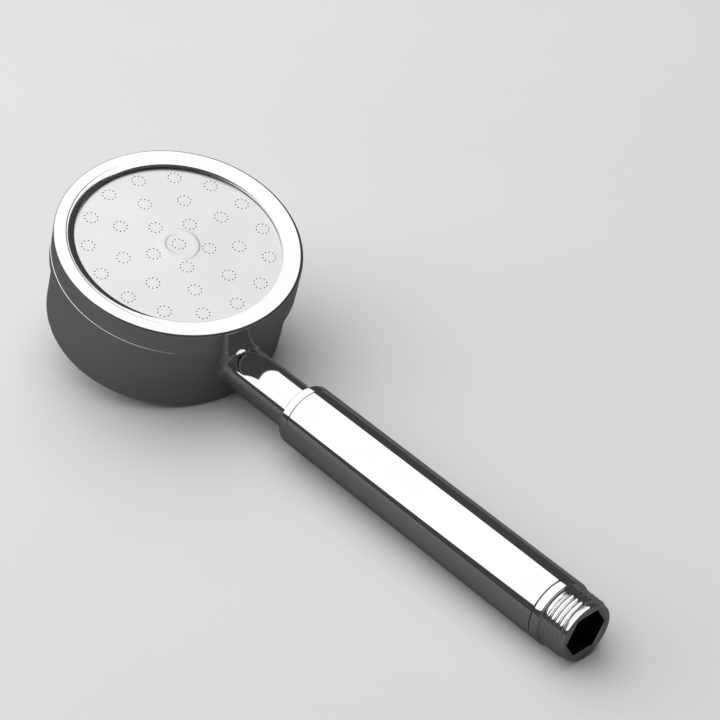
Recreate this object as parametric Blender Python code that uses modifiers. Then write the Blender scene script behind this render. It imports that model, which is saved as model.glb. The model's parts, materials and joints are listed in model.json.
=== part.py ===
"""Handheld shower head: a round head with a screw-on spray face, a slim neck and a sleeved handle
that ends in a G1/2 male hose inlet.

Metres, +Z up. The head lies on its back, as it is put down: it stands on the back edge of its cup
and on the flange of its inlet, with the handle along +X and the spray face tilted back over it.
The origin is under the middle of the whole, on the surface that it stands on.

The turned pieces of the head are drawn about the head's axis, with height 0 at the spray plate's
outer face. Those of the neck and handle are drawn about the handle's axis, with height as the
distance from the head's axis towards the inlet.
"""

import math

import bmesh
import bpy
from mathutils import Vector

MM = 0.001

# Fits and facets
GAP = 0.3 * MM              # between pieces that touch
SEAL_GAP = 0.2 * MM         # between a seal and the walls it is squeezed by
HEAD_STEPS = 48             # facets round the head
HANDLE_STEPS = 32           # facets round the neck, the handle and the distributor disc
SEAL_STEPS = 24             # facets round a seal
SMALL_STEPS = 12            # facets round screws and posts
HOLE_STEPS = 8              # facets round a water hole
CUT_MARGIN = 1.0 * MM       # how far a cutter runs past what it cuts
SHARP_ANGLE = math.radians(35)
MERGE_DISTANCE = 0.005 * MM

# Face ring
RING_RADIUS = 43.0 * MM
RING_HEIGHT = 13.4 * MM     # lip to lower edge
RING_TOP = 2.2 * MM         # lip above the spray plate's face
RING_WALL = 2.8 * MM
RING_LIP_ROUND = 1.3 * MM
RING_CREASE_WIDTH = 3.6 * MM      # outside to the crease
RING_CREASE_DROP = 0.25 * MM
RING_FACE_WIDTH = 7.1 * MM        # outside to the opening
RING_OPENING_HEIGHT = 1.0 * MM
RING_EDGE_CHAMFER = 0.5 * MM

# Spray plate and gasket
PLATE_THICKNESS = 0.6 * MM
PLATE_EDGE_GAP = 0.5 * MM
EMBOSS_HEIGHT = 0.35 * MM
EMBOSS_INNER_RADIUS = 3.6 * MM
EMBOSS_OUTER_RADIUS = 6.8 * MM
EMBOSS_SLOPE = 0.7 * MM
GASKET_THICKNESS = 1.4 * MM

# Rings of holes in the distributor disc, behind the plate's clusters of fine holes
CLUSTER_COUNTS = (5, 9, 15)
CLUSTER_EDGE = 4.6 * MM           # outermost ring to the ring's opening
PATTERN_TURN = math.radians(-21)

# Cup
RING_OVERHANG = 1.4 * MM          # ring's outside past the cup's
CUP_WALL = 2.4 * MM               # at the rim, inside the thread
CUP_FLOOR = 2.2 * MM
CUP_BACK_ROUND = 1.2 * MM
CUP_INNER_ROUND = 3.0 * MM
BACK_BELOW_NECK = 7.2 * MM        # cup's back below the neck's lower side

# Distributor disc, its posts and its screws
DISC_THICKNESS = 2.0 * MM
DISC_EDGE_GAP = 0.5 * MM
DISC_DROP = 3.1 * MM              # plate's inner face to the disc
RIB_WIDTH = 1.2 * MM
WATER_HOLE_RADIUS = 1.8 * MM
SCREW_COUNT = 3
SCREW_TURN = math.radians(60)     # first screw from the pattern's line
SCREW_HEAD_RADIUS = 2.8 * MM
SCREW_HEAD_HEIGHT = 1.7 * MM
SCREW_HEAD_CHAMFER = 0.5 * MM
SCREW_SHANK_RADIUS = 1.25 * MM
SCREW_LENGTH = 9.0 * MM
SCREW_SLOT_WIDTH = 0.8 * MM
SCREW_SLOT_DEPTH = 0.8 * MM
POST_RADIUS = 3.2 * MM

# Hose inlet, a G1/2 male thread: what it leaves inside sets the bore of the whole handle
HOSE_THREAD_CREST = 10.48 * MM
HOSE_THREAD_DEPTH = 1.16 * MM
HOSE_THREAD_PITCH = 1.814 * MM
HOSE_THREAD_LENGTH = 7.4 * MM
HOSE_THREAD_ROWS = 16
HOSE_THREAD_LEAD_IN = 0.6 * MM
RELIEF_WIDTH = 1.5 * MM
END_BAND_STEP = 0.58 * MM         # thread's crest to the end band
END_BAND_WIDTH = 1.4 * MM
END_WALL = 1.24 * MM              # thread's root to the hexagon's corner
HEX_DEPTH = 11.8 * MM
FLANGE_WIDTH = 3.1 * MM
FLANGE_CHAMFER = 0.25 * MM

# Handle, from its bore outwards
BORE_STEP = 0.1 * MM              # hexagon's flats to the round bore behind them
BUSH_WALL = 1.1 * MM              # bore to the floor of the sleeve's seal groove
SEAL_SECTION = 1.2 * MM           # on the spigot, the water pipe and the restrictor
SLEEVE_SEAL_SECTION = 1.3 * MM    # between the sleeve and what enters it
GROOVE_MARGIN = 0.6 * MM          # groove wider than its seal
HANDLE_WALL = 1.4 * MM
SLEEVE_LENGTH = 115.6 * MM
SLEEVE_CHAMFER = 0.2 * MM
COLLAR_WIDTH = 3.7 * MM
COLLAR_CHAMFER = 0.8 * MM
COLLAR_COUNTERBORE = 1.5 * MM
STOP_LIP_HEIGHT = 1.9 * MM
STOP_LIP_WIDTH = 1.1 * MM
PIPE_WALL = 0.9 * MM              # bore to the floor of a seal groove
PIPE_OVERLAP = 13.0 * MM          # of the pipe in the bush and in the inlet

# Neck and its spigot inside the handle
HANDLE_ANGLE = math.radians(16)   # between the handle and the spray plate
NECK_BELOW_RING = 0.94 * MM       # neck's upper side below the ring's edge
NECK_LENGTH = 33.7 * MM           # cup to collar
NECK_STEP = 1.6 * MM              # neck's outside to the spigot's
SPIGOT_WALL = 1.1 * MM            # bore to the floor of a seal groove
SPIGOT_LENGTH = 18.8 * MM

# Flow restrictor and strainer
RESTRICTOR_LENGTH = 5.6 * MM
RESTRICTOR_ORIFICE = 1.3 * MM
RESTRICTOR_RECESS_DEPTH = 2.2 * MM
STRAINER_LENGTH = 2.2 * MM
STRAINER_WALL = 1.2 * MM
STRAINER_CLEARANCE = 0.6 * MM     # strainer to the hexagon's floor
SCREEN_THICKNESS = 0.4 * MM
SCREEN_RISE = 0.9 * MM
SCREEN_SHOULDER = 0.6             # share of its radius at which it has fallen
SCREEN_SHOULDER_RISE = 0.7        # to this share of its rise

# Places of the seals from the ends of the pieces that carry them
SPIGOT_SEAL_UPPER = 3.4 * MM
SPIGOT_SEAL_LOWER = 3.0 * MM
PIPE_SEAL = 3.0 * MM
COLLAR_SEAL_DEPTH = 5.4 * MM
INLET_SEAL_DEPTH = 5.0 * MM

# Head: sizes that follow from the ones above
RING_BOTTOM = RING_TOP - RING_HEIGHT
RING_BORE_RADIUS = RING_RADIUS - RING_WALL
RING_OPENING_RADIUS = RING_RADIUS - RING_FACE_WIDTH
PLATE_RADIUS = RING_BORE_RADIUS - PLATE_EDGE_GAP
CLUSTER_SPACING = (RING_OPENING_RADIUS - CLUSTER_EDGE) / len(CLUSTER_COUNTS)
CUP_RADIUS = RING_RADIUS - RING_OVERHANG
CUP_SPIGOT_RADIUS = RING_BORE_RADIUS - GAP
CUP_INNER_RADIUS = CUP_SPIGOT_RADIUS - CUP_WALL
GASKET_TOP = -PLATE_THICKNESS - GAP
CUP_RIM = GASKET_TOP - GASKET_THICKNESS - GAP
CUP_SHOULDER = RING_BOTTOM - GAP
DISC_TOP = -PLATE_THICKNESS - DISC_DROP
DISC_BOTTOM = DISC_TOP - DISC_THICKNESS
POST_TOP = DISC_BOTTOM - GAP
SCREW_CIRCLE_RADIUS = CLUSTER_SPACING * (len(CLUSTER_COUNTS) - 0.5)

# Handle: radii
HOSE_THREAD_ROOT = HOSE_THREAD_CREST - HOSE_THREAD_DEPTH
END_BAND_RADIUS = HOSE_THREAD_CREST - END_BAND_STEP
HEX_CORNER_RADIUS = HOSE_THREAD_ROOT - END_WALL
BORE_RADIUS = HEX_CORNER_RADIUS * math.cos(math.pi / 6) - BORE_STEP
SPIGOT_RADIUS = BORE_RADIUS - GAP
SEAL_GROOVE_RADIUS = BORE_RADIUS - 2 * SEAL_GAP - SEAL_SECTION
STOP_LIP_RADIUS = BORE_RADIUS - STOP_LIP_HEIGHT
PIPE_BORE_RADIUS = SEAL_GROOVE_RADIUS - PIPE_WALL
NECK_BORE_RADIUS = SEAL_GROOVE_RADIUS - SPIGOT_WALL
NECK_RADIUS = SPIGOT_RADIUS + NECK_STEP
SLEEVE_GROOVE_RADIUS = BORE_RADIUS + BUSH_WALL
SLEEVE_BORE_RADIUS = SLEEVE_GROOVE_RADIUS + SLEEVE_SEAL_SECTION + 2 * SEAL_GAP
BUSH_RADIUS = SLEEVE_BORE_RADIUS - GAP
HANDLE_RADIUS = SLEEVE_BORE_RADIUS + HANDLE_WALL

# Where the handle's axis meets the head's axis, and the cup's back below the neck
NECK_HALF_RISE = NECK_RADIUS / math.cos(HANDLE_ANGLE)
HANDLE_DROP = (NECK_BELOW_RING - RING_BOTTOM) + RING_RADIUS * math.tan(HANDLE_ANGLE) + NECK_HALF_RISE
CUP_DEPTH = HANDLE_DROP - CUP_RADIUS * math.tan(HANDLE_ANGLE) + NECK_HALF_RISE + BACK_BELOW_NECK
CUP_INSIDE_FLOOR = CUP_FLOOR - CUP_DEPTH

# Handle: places along its axis
COLLAR_START = CUP_RADIUS / math.cos(HANDLE_ANGLE) + NECK_LENGTH
COLLAR_END = COLLAR_START + COLLAR_WIDTH
NECK_END = COLLAR_START + COLLAR_COUNTERBORE - GAP
SPIGOT_END = NECK_END + SPIGOT_LENGTH
BUSH_LIP_START = SPIGOT_END + GAP
BUSH_LIP_END = BUSH_LIP_START + STOP_LIP_WIDTH
PIPE_START = BUSH_LIP_END + GAP
BUSH_END = PIPE_START + PIPE_OVERLAP
SLEEVE_START = COLLAR_END + GAP
SLEEVE_END = SLEEVE_START + SLEEVE_LENGTH
FLANGE_START = SLEEVE_END + GAP
FLANGE_END = FLANGE_START + FLANGE_WIDTH
HOSE_THREAD_START = FLANGE_END + RELIEF_WIDTH
HOSE_THREAD_END = HOSE_THREAD_START + HOSE_THREAD_LENGTH
INLET_END = HOSE_THREAD_END + END_BAND_WIDTH
HEX_FLOOR = INLET_END - HEX_DEPTH
STRAINER_END = HEX_FLOOR - STRAINER_CLEARANCE
STRAINER_START = STRAINER_END - STRAINER_LENGTH
RESTRICTOR_END = STRAINER_START - GAP
RESTRICTOR_START = RESTRICTOR_END - RESTRICTOR_LENGTH
SEAT_FLOOR = RESTRICTOR_START - GAP
INLET_LIP_START = SEAT_FLOOR - STOP_LIP_WIDTH
PIPE_END = INLET_LIP_START - GAP
FITTING_START = PIPE_END - PIPE_OVERLAP
NECK_SEAL_UPPER = NECK_END + SPIGOT_SEAL_UPPER
NECK_SEAL_LOWER = SPIGOT_END - SPIGOT_SEAL_LOWER
COLLAR_SEAL = COLLAR_END + COLLAR_SEAL_DEPTH
PIPE_SEAL_UPPER = PIPE_START + PIPE_SEAL
PIPE_SEAL_LOWER = PIPE_END - PIPE_SEAL
INLET_SEAL = FLANGE_START - INLET_SEAL_DEPTH
RESTRICTOR_SEAL = (RESTRICTOR_START + RESTRICTOR_END) / 2


# ---------------------------------------------------------------- helpers

def clear_scene():
    for old in list(bpy.data.objects):
        bpy.data.objects.remove(old, do_unlink=True)


def new_collection(name):
    collection = bpy.data.collections.new(name)
    bpy.context.scene.collection.children.link(collection)
    return collection


def new_material(name, colour, metallic, roughness):
    material = bpy.data.materials.new(name)
    material.use_nodes = True
    shader = material.node_tree.nodes["Principled BSDF"]
    shader.inputs["Base Color"].default_value = (*colour, 1.0)
    shader.inputs["Metallic"].default_value = metallic
    shader.inputs["Roughness"].default_value = roughness
    material.diffuse_color = (*colour, 1.0)
    return material


def new_empty(name, parent, location, turn):
    empty = bpy.data.objects.new(name, None)
    empty.empty_display_size = 10 * MM
    empty.location = location
    empty.rotation_euler = turn
    empty.parent = parent
    PARTS.objects.link(empty)
    return empty


def add_object(name, mesh, parent, collection):
    added = bpy.data.objects.new(name, mesh)
    added.parent = parent
    collection.objects.link(added)
    return added


def clockwise(outline):
    """The outline in the order that makes a turned surface face outwards."""
    doubled_area = 0.0
    for (r0, h0), (r1, h1) in zip(outline, outline[1:] + outline[:1]):
        doubled_area += r0 * h1 - r1 * h0
    return outline if doubled_area < 0 else outline[::-1]


def turned_mesh(name, outline, steps):
    """A closed outline of (radius, height) turned about Z. It may touch the axis at its two ends.

    It starts half a facet round from X, so that a flat faces X and the whole lies on flats.
    """
    half_facet = math.pi / steps
    touches_axis = outline[0][0] == 0 and outline[-1][0] == 0
    points = clockwise(outline)
    edges = [(i, i + 1) for i in range(len(points) - 1)]
    if not touches_axis:
        edges.append((len(points) - 1, 0))
    profile = bpy.data.meshes.new(name)
    profile.from_pydata([(*polar(radius, half_facet), height) for radius, height in points], edges, [])
    blank = add_object(name, profile, None, CUTTERS)
    screw = blank.modifiers.new("turn", "SCREW")
    screw.axis = "Z"
    screw.angle = 2 * math.pi
    screw.steps = steps
    screw.render_steps = steps
    screw.use_merge_vertices = True
    screw.merge_threshold = MERGE_DISTANCE
    return baked_mesh(blank)


def baked_mesh(blank):
    """The evaluated mesh of an object, which is then removed."""
    bpy.context.view_layer.update()
    evaluated = blank.evaluated_get(bpy.context.evaluated_depsgraph_get())
    mesh = bpy.data.meshes.new_from_object(evaluated)
    mesh.name = blank.name
    bpy.data.objects.remove(blank, do_unlink=True)
    return mesh


def turned(name, outline, steps, parent, material, collection=None):
    mesh = turned_mesh(name, outline, steps)
    mesh.materials.append(material)
    return add_object(name, mesh, parent, collection or PARTS)


def cutter(name, outline, steps, parent):
    shape = turned(name, outline, steps, parent, STEEL, CUTTERS)
    shape.hide_render = True
    shape.display_type = "WIRE"
    return shape


def prism(name, parent, radius, start, end, sides):
    """A straight cutter along its parent's Z, from one height to another."""
    bm = bmesh.new()
    size = {"radius1": radius, "radius2": radius, "depth": end - start}
    bmesh.ops.create_cone(bm, cap_ends=True, segments=sides, **size)
    bmesh.ops.translate(bm, vec=(0, 0, (start + end) / 2), verts=bm.verts)
    mesh = bpy.data.meshes.new(name)
    bm.to_mesh(mesh)
    bm.free()
    shape = add_object(name, mesh, parent, CUTTERS)
    shape.hide_render = True
    shape.display_type = "WIRE"
    return shape


def boolean(target, tool, operation):
    modifier = target.modifiers.new(tool.name, "BOOLEAN")
    modifier.object = tool
    modifier.operation = operation
    modifier.solver = "EXACT"


def arc(centre, radius, start, end, points):
    """Points on a round stretch of an outline; the angles are in degrees from the radius axis."""
    angles = [math.radians(start + (end - start) * i / (points - 1)) for i in range(points)]
    return [(centre[0] + radius * math.cos(a), centre[1] + radius * math.sin(a)) for a in angles]


def groove(surface, floor, middle, width):
    """The four points of a square groove, in order of height."""
    low = middle - width / 2
    high = middle + width / 2
    return [(surface, low), (floor, low), (floor, high), (surface, high)]


def polar(radius, angle):
    return radius * math.cos(angle), radius * math.sin(angle)


def seal(name, parent, middle, groove_radius, section):
    """An O-ring about its parent's Z."""
    bpy.ops.mesh.primitive_torus_add(
        major_segments=SEAL_STEPS,
        minor_segments=6,
        major_radius=groove_radius + SEAL_GAP + section / 2,
        minor_radius=section / 2,
    )
    ring = bpy.context.object
    ring.name = name
    ring.data.name = name
    ring.location = (0, 0, middle)
    ring.parent = parent
    for collection in list(ring.users_collection):
        collection.objects.unlink(ring)
    PARTS.objects.link(ring)
    ring.data.materials.append(RUBBER)
    return ring


# ---------------------------------------------------------------- head

def head_outer():
    """The cup as a solid: thread spigot, shoulder, wall and back."""
    back_centre = (CUP_RADIUS - CUP_BACK_ROUND, CUP_BACK_ROUND - CUP_DEPTH)
    return [
        (0, CUP_RIM),
        (CUP_SPIGOT_RADIUS, CUP_RIM),
        (CUP_SPIGOT_RADIUS, CUP_SHOULDER),
        (CUP_RADIUS, CUP_SHOULDER),
        *arc(back_centre, CUP_BACK_ROUND, 0, -90, 4),
        (0, -CUP_DEPTH),
    ]


def head_hollow():
    floor_centre = (CUP_INNER_RADIUS - CUP_INNER_ROUND, CUP_INSIDE_FLOOR + CUP_INNER_ROUND)
    return [
        (0, CUP_RIM + CUT_MARGIN),
        (CUP_INNER_RADIUS, CUP_RIM + CUT_MARGIN),
        *arc(floor_centre, CUP_INNER_ROUND, 0, -90, 4),
        (0, CUP_INSIDE_FLOOR),
    ]


def neck_start():
    """Where the neck's square end lies wholly inside the cup's hollow."""
    wall_beside_neck = math.sqrt(CUP_INNER_RADIUS ** 2 - NECK_RADIUS ** 2)
    end_slant = NECK_RADIUS * math.sin(HANDLE_ANGLE)
    return (wall_beside_neck - end_slant) / math.cos(HANDLE_ANGLE) - CUT_MARGIN


def neck_outline():
    seal_width = SEAL_SECTION + GROOVE_MARGIN
    inside_cup = neck_start()
    return [
        (0, inside_cup),
        (NECK_RADIUS, inside_cup),
        (NECK_RADIUS, NECK_END),
        (SPIGOT_RADIUS, NECK_END),
        *groove(SPIGOT_RADIUS, SEAL_GROOVE_RADIUS, NECK_SEAL_UPPER, seal_width),
        *groove(SPIGOT_RADIUS, SEAL_GROOVE_RADIUS, NECK_SEAL_LOWER, seal_width),
        (SPIGOT_RADIUS, SPIGOT_END),
        (0, SPIGOT_END),
    ]


def screw_places():
    """Where the distributor's screws stand, between the water holes."""
    for i in range(SCREW_COUNT):
        yield polar(SCREW_CIRCLE_RADIUS, PATTERN_TURN + SCREW_TURN + 2 * math.pi * i / SCREW_COUNT)


def make_head_shell(head, handle):
    shell = turned("head_shell", head_outer(), HEAD_STEPS, head, CHROME)
    neck = cutter("neck_solid", neck_outline(), HANDLE_STEPS, handle)
    boolean(shell, neck, "UNION")
    # half a facet round from the wall, so that none of its corners meets an edge of the rim
    hollow = cutter("cup_hollow", head_hollow(), HEAD_STEPS, head)
    hollow.rotation_euler = (0, 0, math.pi / HEAD_STEPS)
    boolean(shell, hollow, "DIFFERENCE")
    for i, (x, y) in enumerate(screw_places(), 1):
        foot = CUP_INSIDE_FLOOR - CUP_FLOOR / 2
        post = prism(f"post_{i}", head, POST_RADIUS, foot, POST_TOP, SMALL_STEPS)
        post.location = (x, y, 0)
        boolean(shell, post, "UNION")
        low = DISC_TOP + GAP - SCREW_LENGTH - CUT_MARGIN
        high = POST_TOP + CUT_MARGIN
        hole = prism(f"post_hole_{i}", head, SCREW_SHANK_RADIUS + GAP, low, high, SMALL_STEPS)
        hole.location = (x, y, 0)
        boolean(shell, hole, "DIFFERENCE")
    low = neck_start() - CUT_MARGIN
    high = SPIGOT_END + CUT_MARGIN
    way = prism("water_way", handle, NECK_BORE_RADIUS, low, high, SMALL_STEPS)
    boolean(shell, way, "DIFFERENCE")
    return shell


def make_face_ring(head):
    lip_centre = (RING_RADIUS - RING_LIP_ROUND, RING_TOP - RING_LIP_ROUND)
    outline = [
        (RING_OPENING_RADIUS, GAP),
        (RING_OPENING_RADIUS, RING_OPENING_HEIGHT),
        (RING_RADIUS - RING_CREASE_WIDTH, RING_TOP - RING_CREASE_DROP),
        *arc(lip_centre, RING_LIP_ROUND, 90, 0, 5),
        (RING_RADIUS, RING_BOTTOM + RING_EDGE_CHAMFER),
        (RING_RADIUS - RING_EDGE_CHAMFER, RING_BOTTOM),
        (RING_BORE_RADIUS, RING_BOTTOM),
        (RING_BORE_RADIUS, GAP),
    ]
    return turned("face_ring", outline, HEAD_STEPS, head, CHROME)


def make_spray_plate(head):
    top = EMBOSS_HEIGHT
    outline = [
        (0, -PLATE_THICKNESS),
        (PLATE_RADIUS, -PLATE_THICKNESS),
        (PLATE_RADIUS, 0),
        (EMBOSS_OUTER_RADIUS, 0),
        (EMBOSS_OUTER_RADIUS - EMBOSS_SLOPE, top),
        (EMBOSS_INNER_RADIUS + EMBOSS_SLOPE, top),
        (EMBOSS_INNER_RADIUS, 0),
        (0, 0),
    ]
    return turned("spray_plate", outline, HEAD_STEPS, head, STEEL)


def make_plate_gasket(head):
    outline = [
        (CUP_INNER_RADIUS, GASKET_TOP - GASKET_THICKNESS),
        (PLATE_RADIUS, GASKET_TOP - GASKET_THICKNESS),
        (PLATE_RADIUS, GASKET_TOP),
        (CUP_INNER_RADIUS, GASKET_TOP),
    ]
    return turned("plate_gasket", outline, HEAD_STEPS, head, RUBBER)


def make_distributor_disc(head):
    rim = CUP_INNER_RADIUS - DISC_EDGE_GAP
    rib_top = -PLATE_THICKNESS - GAP
    outline = [(0, DISC_BOTTOM), (rim, DISC_BOTTOM), (rim, rib_top), (rim - RIB_WIDTH, rib_top),
               (rim - RIB_WIDTH, DISC_TOP)]
    for k in reversed(range(len(CLUSTER_COUNTS))):
        radius = CLUSTER_SPACING * (k + 0.5)
        outer = radius + RIB_WIDTH / 2
        inner = radius - RIB_WIDTH / 2
        outline += [(outer, DISC_TOP), (outer, rib_top), (inner, rib_top), (inner, DISC_TOP)]
    outline.append((0, DISC_TOP))
    disc = turned("distributor_disc", outline, HANDLE_STEPS, head, PLASTIC)
    low = DISC_BOTTOM - CUT_MARGIN
    high = DISC_TOP + CUT_MARGIN
    for k, count in enumerate(CLUSTER_COUNTS, 1):
        for i in range(count):
            x, y = polar(CLUSTER_SPACING * k, PATTERN_TURN + 2 * math.pi * i / count)
            hole = prism(f"water_hole_{count}_{i}", head, WATER_HOLE_RADIUS, low, high, HOLE_STEPS)
            hole.location = (x, y, 0)
            boolean(disc, hole, "DIFFERENCE")
    for i, (x, y) in enumerate(screw_places(), 1):
        recess = prism(f"screw_recess_{i}", head, SCREW_HEAD_RADIUS + GAP, DISC_TOP, 0, SMALL_STEPS)
        recess.location = (x, y, 0)
        boolean(disc, recess, "DIFFERENCE")
        hole = prism(f"screw_hole_{i}", head, SCREW_SHANK_RADIUS + GAP, low, high, SMALL_STEPS)
        hole.location = (x, y, 0)
        boolean(disc, hole, "DIFFERENCE")
    return disc


def make_distributor_screws(head):
    under_head = DISC_TOP + GAP
    top = under_head + SCREW_HEAD_HEIGHT
    outline = [
        (0, under_head - SCREW_LENGTH),
        (SCREW_SHANK_RADIUS, under_head - SCREW_LENGTH),
        (SCREW_SHANK_RADIUS, under_head),
        (SCREW_HEAD_RADIUS, under_head),
        (SCREW_HEAD_RADIUS, top - SCREW_HEAD_CHAMFER),
        (SCREW_HEAD_RADIUS - SCREW_HEAD_CHAMFER, top),
        (0, top),
    ]
    for i, (x, y) in enumerate(screw_places(), 1):
        screw = turned(f"distributor_screw_{i}", outline, SMALL_STEPS, head, STEEL)
        screw.location = (x, y, 0)
        bm = bmesh.new()
        bmesh.ops.create_cube(bm, size=1.0)
        size = (3 * SCREW_HEAD_RADIUS, SCREW_SLOT_WIDTH, 2 * SCREW_SLOT_DEPTH)
        bmesh.ops.scale(bm, vec=size, verts=bm.verts)
        mesh = bpy.data.meshes.new("slot")
        bm.to_mesh(mesh)
        bm.free()
        slot = add_object(f"screw_slot_{i}", mesh, head, CUTTERS)
        slot.location = (x, y, top)
        slot.hide_render = True
        slot.display_type = "WIRE"
        boolean(screw, slot, "DIFFERENCE")


# ---------------------------------------------------------------- handle

def make_collar_bush(handle):
    body_groove = groove(BUSH_RADIUS, SLEEVE_GROOVE_RADIUS, COLLAR_SEAL, SLEEVE_SEAL_SECTION + GROOVE_MARGIN)
    counterbore = NECK_RADIUS + GAP
    outline = [
        (counterbore, COLLAR_START),
        (HANDLE_RADIUS - COLLAR_CHAMFER, COLLAR_START),
        (HANDLE_RADIUS, COLLAR_START + COLLAR_CHAMFER),
        (HANDLE_RADIUS, COLLAR_END),
        (BUSH_RADIUS, COLLAR_END),
        *body_groove,
        (BUSH_RADIUS, BUSH_END),
        (BORE_RADIUS, BUSH_END),
        (BORE_RADIUS, BUSH_LIP_END),
        (STOP_LIP_RADIUS, BUSH_LIP_END),
        (STOP_LIP_RADIUS, BUSH_LIP_START),
        (BORE_RADIUS, BUSH_LIP_START),
        (BORE_RADIUS, COLLAR_START + COLLAR_COUNTERBORE),
        (counterbore, COLLAR_START + COLLAR_COUNTERBORE),
    ]
    return turned("collar_bush", outline, HANDLE_STEPS, handle, CHROME)


def make_handle_tube(handle):
    outline = [
        (SLEEVE_BORE_RADIUS, SLEEVE_START),
        (HANDLE_RADIUS - SLEEVE_CHAMFER, SLEEVE_START),
        (HANDLE_RADIUS, SLEEVE_START + SLEEVE_CHAMFER),
        (HANDLE_RADIUS, SLEEVE_END - SLEEVE_CHAMFER),
        (HANDLE_RADIUS - SLEEVE_CHAMFER, SLEEVE_END),
        (SLEEVE_BORE_RADIUS, SLEEVE_END),
    ]
    return turned("handle_tube", outline, HANDLE_STEPS, handle, CHROME)


def make_water_pipe(handle):
    seal_width = SEAL_SECTION + GROOVE_MARGIN
    outline = [
        (PIPE_BORE_RADIUS, PIPE_START),
        (SPIGOT_RADIUS, PIPE_START),
        *groove(SPIGOT_RADIUS, SEAL_GROOVE_RADIUS, PIPE_SEAL_UPPER, seal_width),
        *groove(SPIGOT_RADIUS, SEAL_GROOVE_RADIUS, PIPE_SEAL_LOWER, seal_width),
        (SPIGOT_RADIUS, PIPE_END),
        (PIPE_BORE_RADIUS, PIPE_END),
    ]
    return turned("water_pipe", outline, HANDLE_STEPS, handle, PLASTIC)


def hose_thread_radius(angle, height):
    """The G1/2 thread's radius: a V that winds up the axis and fades out at both its ends."""
    turns = (height - HOSE_THREAD_START) / HOSE_THREAD_PITCH - angle / (2 * math.pi)
    wave = 1 - abs(2 * (turns % 1.0) - 1)
    from_end = min(height - HOSE_THREAD_START, HOSE_THREAD_END - height)
    fade = min(max(from_end / HOSE_THREAD_LEAD_IN, 0.0), 1.0)
    return HOSE_THREAD_ROOT + (HOSE_THREAD_CREST - HOSE_THREAD_ROOT) * wave * fade


def cut_hose_thread(mesh):
    """Winds the thread into the fine rows of the fitting's blank."""
    for vertex in mesh.vertices:
        radius = math.hypot(vertex.co.x, vertex.co.y)
        on_thread = HOSE_THREAD_START < vertex.co.z < HOSE_THREAD_END
        if not on_thread or radius < HOSE_THREAD_ROOT - MERGE_DISTANCE:
            continue
        angle = math.atan2(vertex.co.y, vertex.co.x)
        scale = hose_thread_radius(angle, vertex.co.z) / radius
        vertex.co.x *= scale
        vertex.co.y *= scale


def make_inlet_fitting(handle):
    row = HOSE_THREAD_LENGTH / HOSE_THREAD_ROWS
    thread_rows = [(HOSE_THREAD_ROOT, HOSE_THREAD_START + row * i) for i in range(HOSE_THREAD_ROWS + 1)]
    hex_blank_radius = BORE_RADIUS - GAP
    outline = [
        (BORE_RADIUS, FITTING_START),
        (BUSH_RADIUS, FITTING_START),
        *groove(BUSH_RADIUS, SLEEVE_GROOVE_RADIUS, INLET_SEAL, SLEEVE_SEAL_SECTION + GROOVE_MARGIN),
        (BUSH_RADIUS, FLANGE_START),
        (HANDLE_RADIUS - FLANGE_CHAMFER, FLANGE_START),
        (HANDLE_RADIUS, FLANGE_START + FLANGE_CHAMFER),
        (HANDLE_RADIUS, FLANGE_END - FLANGE_CHAMFER),
        (HANDLE_RADIUS - FLANGE_CHAMFER, FLANGE_END),
        (HOSE_THREAD_ROOT, FLANGE_END),
        *thread_rows,
        (END_BAND_RADIUS, HOSE_THREAD_END),
        (END_BAND_RADIUS, INLET_END - FLANGE_CHAMFER),
        (END_BAND_RADIUS - FLANGE_CHAMFER, INLET_END),
        (hex_blank_radius, INLET_END),
        (hex_blank_radius, HEX_FLOOR + CUT_MARGIN),
        (BORE_RADIUS, HEX_FLOOR + CUT_MARGIN),
        (BORE_RADIUS, SEAT_FLOOR),
        (STOP_LIP_RADIUS, SEAT_FLOOR),
        (STOP_LIP_RADIUS, INLET_LIP_START),
        (BORE_RADIUS, INLET_LIP_START),
    ]
    fitting = turned("inlet_fitting", outline, HANDLE_STEPS, handle, CHROME)
    cut_hose_thread(fitting.data)
    hexagon = prism("hex_socket", handle, HEX_CORNER_RADIUS, HEX_FLOOR, INLET_END + CUT_MARGIN, 6)
    boolean(fitting, hexagon, "DIFFERENCE")
    return fitting


def make_flow_restrictor(handle):
    recess_floor = RESTRICTOR_END - RESTRICTOR_RECESS_DEPTH
    outline = [
        (RESTRICTOR_ORIFICE, RESTRICTOR_START),
        (SPIGOT_RADIUS, RESTRICTOR_START),
        *groove(SPIGOT_RADIUS, SEAL_GROOVE_RADIUS, RESTRICTOR_SEAL, SEAL_SECTION + GROOVE_MARGIN),
        (SPIGOT_RADIUS, RESTRICTOR_END),
        (PIPE_BORE_RADIUS, RESTRICTOR_END),
        (PIPE_BORE_RADIUS, recess_floor),
        (RESTRICTOR_ORIFICE, recess_floor),
    ]
    return turned("flow_restrictor", outline, HANDLE_STEPS, handle, PLASTIC)


def make_strainer(handle):
    inner = SPIGOT_RADIUS - STRAINER_WALL
    frame_outline = [(inner, STRAINER_START), (SPIGOT_RADIUS, STRAINER_START), (SPIGOT_RADIUS, STRAINER_END),
                     (inner, STRAINER_END)]
    turned("filter_frame", frame_outline, HANDLE_STEPS, handle, PLASTIC)
    edge = inner - GAP
    low = STRAINER_START + GAP
    shoulder = (edge * SCREEN_SHOULDER, low + SCREEN_RISE * SCREEN_SHOULDER_RISE)
    screen_outline = [
        (0, low + SCREEN_RISE),
        shoulder,
        (edge, low),
        (edge, low + SCREEN_THICKNESS),
        (shoulder[0], shoulder[1] + SCREEN_THICKNESS),
        (0, low + SCREEN_RISE + SCREEN_THICKNESS),
    ]
    turned("filter_screen", screen_outline, SMALL_STEPS, handle, STEEL)


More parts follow.
